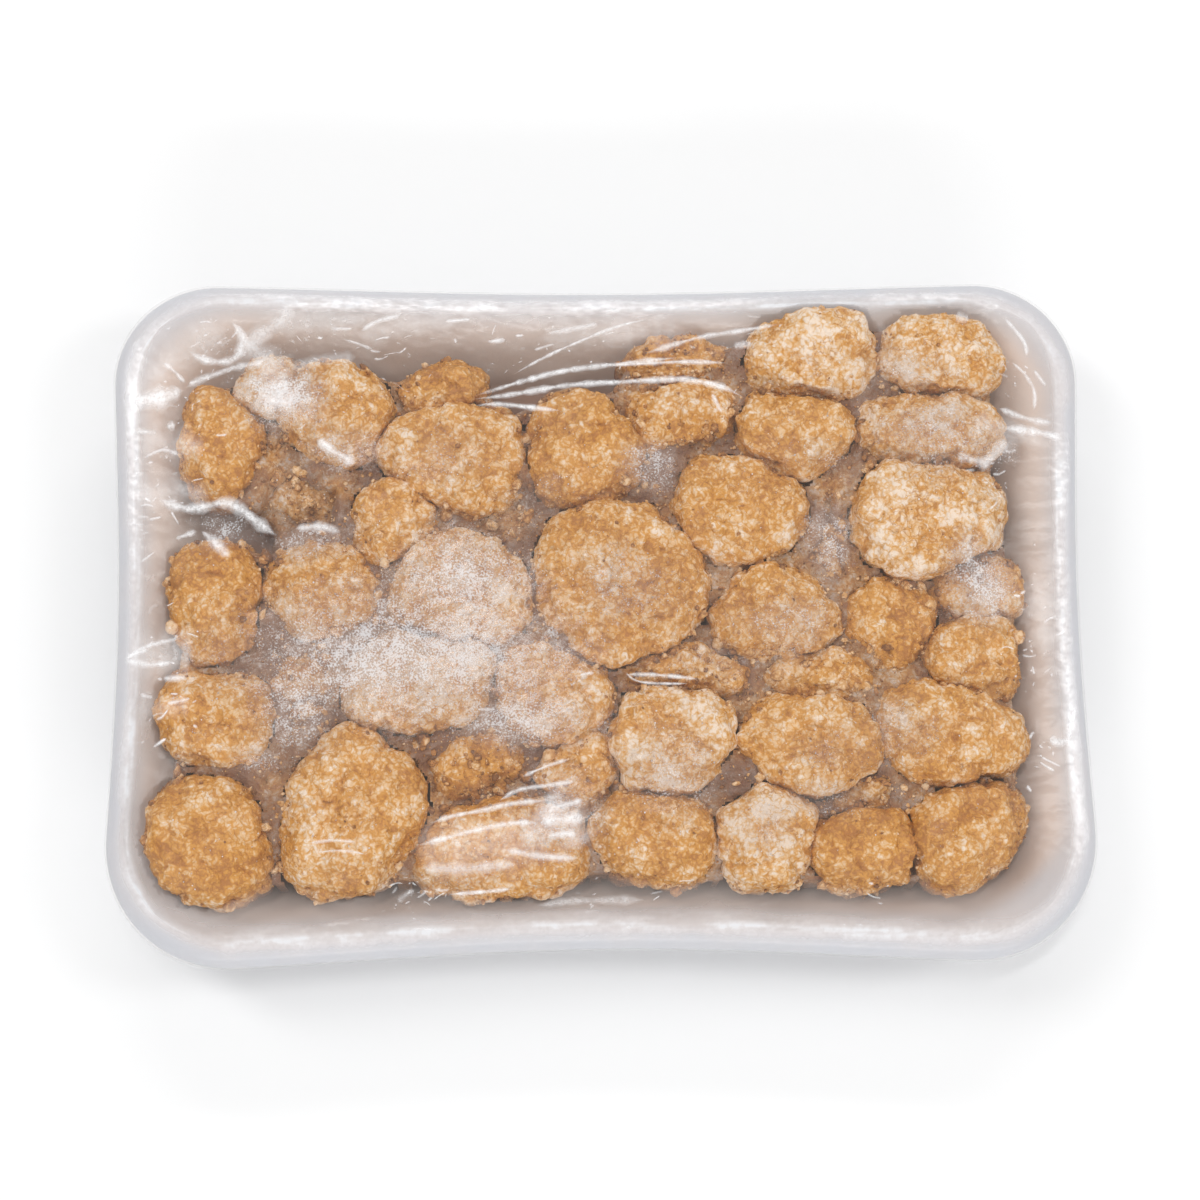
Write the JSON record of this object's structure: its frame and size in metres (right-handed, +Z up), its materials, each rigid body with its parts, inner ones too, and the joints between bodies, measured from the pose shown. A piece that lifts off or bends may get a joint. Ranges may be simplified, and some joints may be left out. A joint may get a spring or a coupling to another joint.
{
  "type": "packaged popcorn chicken",
  "caption": "Shallow white foam tray of frozen breaded chicken bites, sealed in clear stretch film wrapped over the rim and under the base.",
  "frame": {"origin": "centre of the pack's footprint, on the surface it lies on", "axes": "+X along the length, +Y to the back long side, +Z up out of the tray"},
  "size_m": [0.2108, 0.1488, 0.0335],
  "materials": {
    "foam": "white expanded foam with a smooth, slightly satin skin",
    "breading": "rough golden crumb coating with pale frost",
    "film": "clear glossy stretch film with creases and frost"
  },
  "bodies": {
    "root": {"foam_tray": "foam", "chicken_01": "breading", "chicken_02": "breading", "chicken_03": "breading", "chicken_04": "breading", "chicken_05": "breading", "chicken_06": "breading", "chicken_07": "breading", "chicken_08": "breading", "chicken_09": "breading", "chicken_10": "breading", "chicken_11": "breading", "chicken_12": "breading", "chicken_13": "breading", "chicken_14": "breading", "chicken_15": "breading", "chicken_16": "breading", "chicken_17": "breading", "chicken_18": "breading", "chicken_19": "breading", "chicken_20": "breading", "chicken_21": "breading", "chicken_22": "breading", "chicken_23": "breading", "chicken_24": "breading", "chicken_25": "breading", "chicken_26": "breading", "chicken_27": "breading", "chicken_28": "breading", "chicken_29": "breading", "chicken_30": "breading", "chicken_31": "breading", "chicken_32": "breading", "chicken_33": "breading", "chicken_34": "breading", "chicken_35": "breading", "chicken_36": "breading", "chicken_37": "breading", "chicken_38": "breading", "chicken_39": "breading", "chicken_40": "breading", "chicken_41": "breading", "chicken_42": "breading", "chicken_43": "breading", "chicken_44": "breading", "chicken_45": "breading", "chicken_46": "breading", "chicken_47": "breading", "chicken_48": "breading", "chicken_49": "breading", "chicken_50": "breading", "chicken_51": "breading", "chicken_52": "breading", "chicken_53": "breading", "film": "film"}
  },
  "joints": []
}
